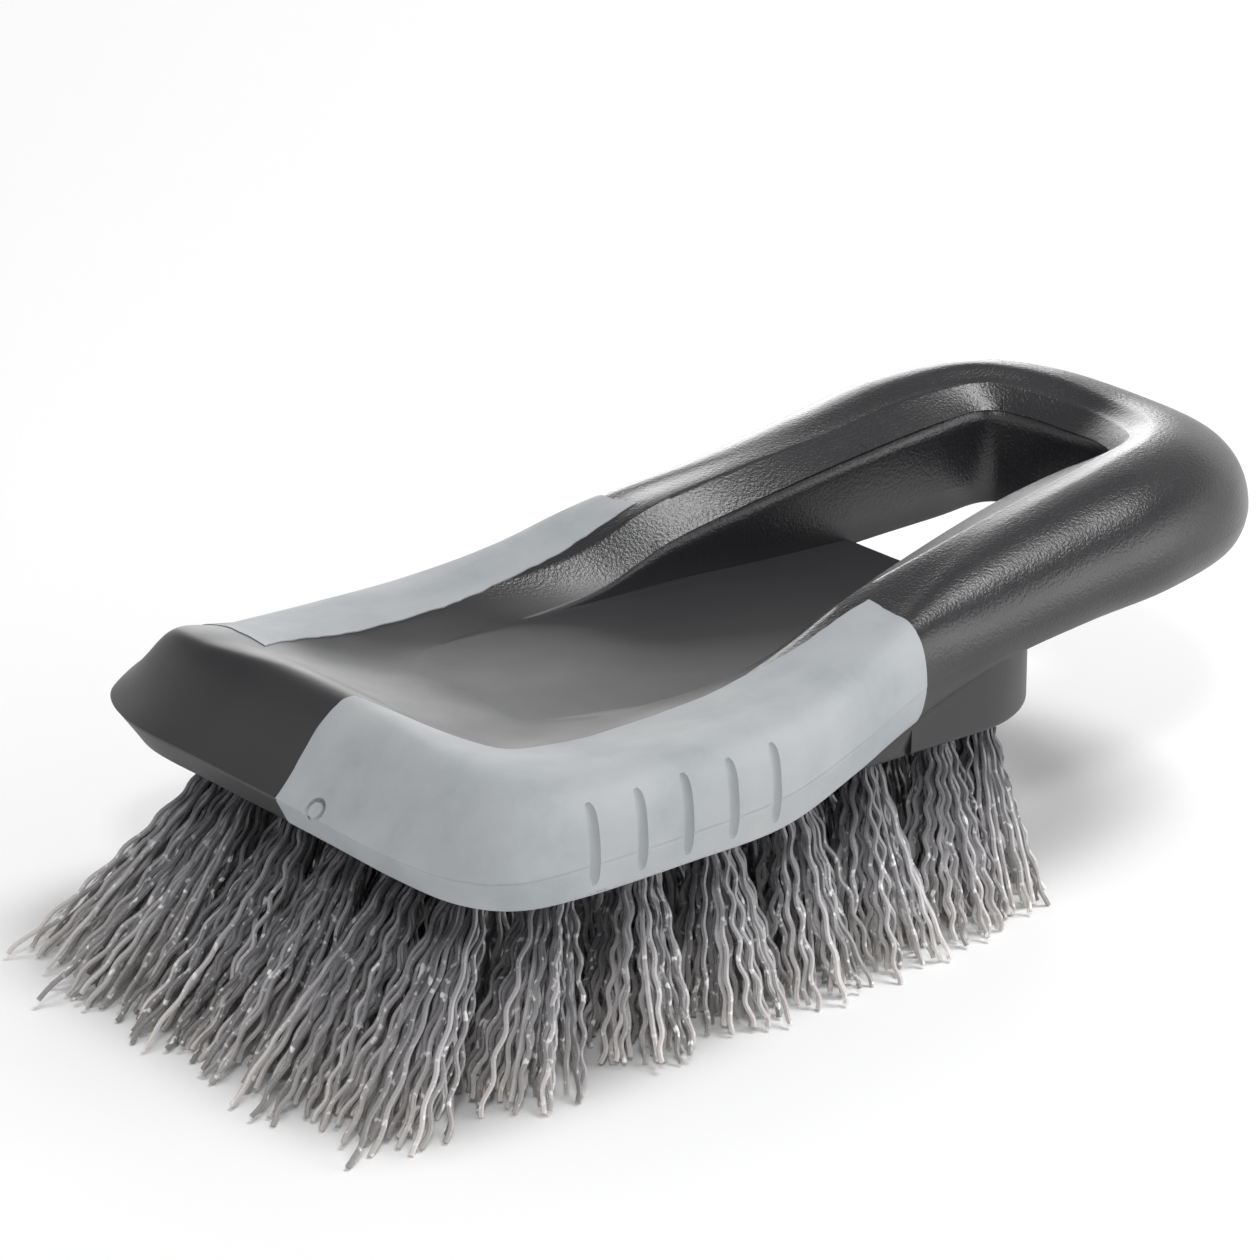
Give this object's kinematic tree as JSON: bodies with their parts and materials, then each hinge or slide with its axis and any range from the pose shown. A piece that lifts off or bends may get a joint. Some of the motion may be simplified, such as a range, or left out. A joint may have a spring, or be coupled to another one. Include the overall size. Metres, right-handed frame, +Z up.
{
  "type": "wheel brush",
  "caption": "Palm-sized wheel cleaning brush with a loop handle, soft overmoulded side grips and crimped bristle tufts that flare forward.",
  "frame": {"origin": "middle of the brush's box, on the surface that the bristle tips stand on", "axes": "+Z up, away from the bristle tips; +X from the nose to the loop handle; +Y towards the thumb grip's side"},
  "size_m": [0.149, 0.0778, 0.0457],
  "materials": {
    "body_plastic": "black moulded polypropylene, satin, fine leather grain on the rails and loop",
    "grip_rubber": "matt grey overmoulded soft rubber, slightly cloudy",
    "bristle_nylon": "grey crimped nylon filament with small bright glints"
  },
  "bodies": {
    "root": {"moulded_body": "body_plastic", "finger_grip": "grip_rubber", "thumb_grip": "grip_rubber", "tuft_row1_column1": "bristle_nylon", "tuft_row1_column2": "bristle_nylon", "tuft_row1_column3": "bristle_nylon", "tuft_row1_column4": "bristle_nylon", "tuft_row1_column5": "bristle_nylon", "tuft_row1_column6": "bristle_nylon", "tuft_row2_column1": "bristle_nylon", "tuft_row2_column2": "bristle_nylon", "tuft_row2_column3": "bristle_nylon", "tuft_row2_column4": "bristle_nylon", "tuft_row2_column5": "bristle_nylon", "tuft_row2_column6": "bristle_nylon", "tuft_row3_column1": "bristle_nylon", "tuft_row3_column2": "bristle_nylon", "tuft_row3_column3": "bristle_nylon", "tuft_row3_column4": "bristle_nylon", "tuft_row3_column5": "bristle_nylon", "tuft_row3_column6": "bristle_nylon", "tuft_row4_column1": "bristle_nylon", "tuft_row4_column2": "bristle_nylon", "tuft_row4_column3": "bristle_nylon", "tuft_row4_column4": "bristle_nylon", "tuft_row4_column5": "bristle_nylon", "tuft_row4_column6": "bristle_nylon", "tuft_row5_column1": "bristle_nylon", "tuft_row5_column2": "bristle_nylon", "tuft_row5_column3": "bristle_nylon", "tuft_row5_column4": "bristle_nylon", "tuft_row5_column5": "bristle_nylon", "tuft_row5_column6": "bristle_nylon", "tuft_row6_column1": "bristle_nylon", "tuft_row6_column2": "bristle_nylon", "tuft_row6_column3": "bristle_nylon", "tuft_row6_column4": "bristle_nylon", "tuft_row6_column5": "bristle_nylon", "tuft_row6_column6": "bristle_nylon", "tuft_row7_column1": "bristle_nylon", "tuft_row7_column2": "bristle_nylon", "tuft_row7_column3": "bristle_nylon", "tuft_row7_column4": "bristle_nylon", "tuft_row7_column5": "bristle_nylon", "tuft_row7_column6": "bristle_nylon", "tuft_row8_column1": "bristle_nylon", "tuft_row8_column2": "bristle_nylon", "tuft_row8_column3": "bristle_nylon", "tuft_row8_column4": "bristle_nylon", "tuft_row8_column5": "bristle_nylon", "tuft_row8_column6": "bristle_nylon"}
  },
  "joints": []
}
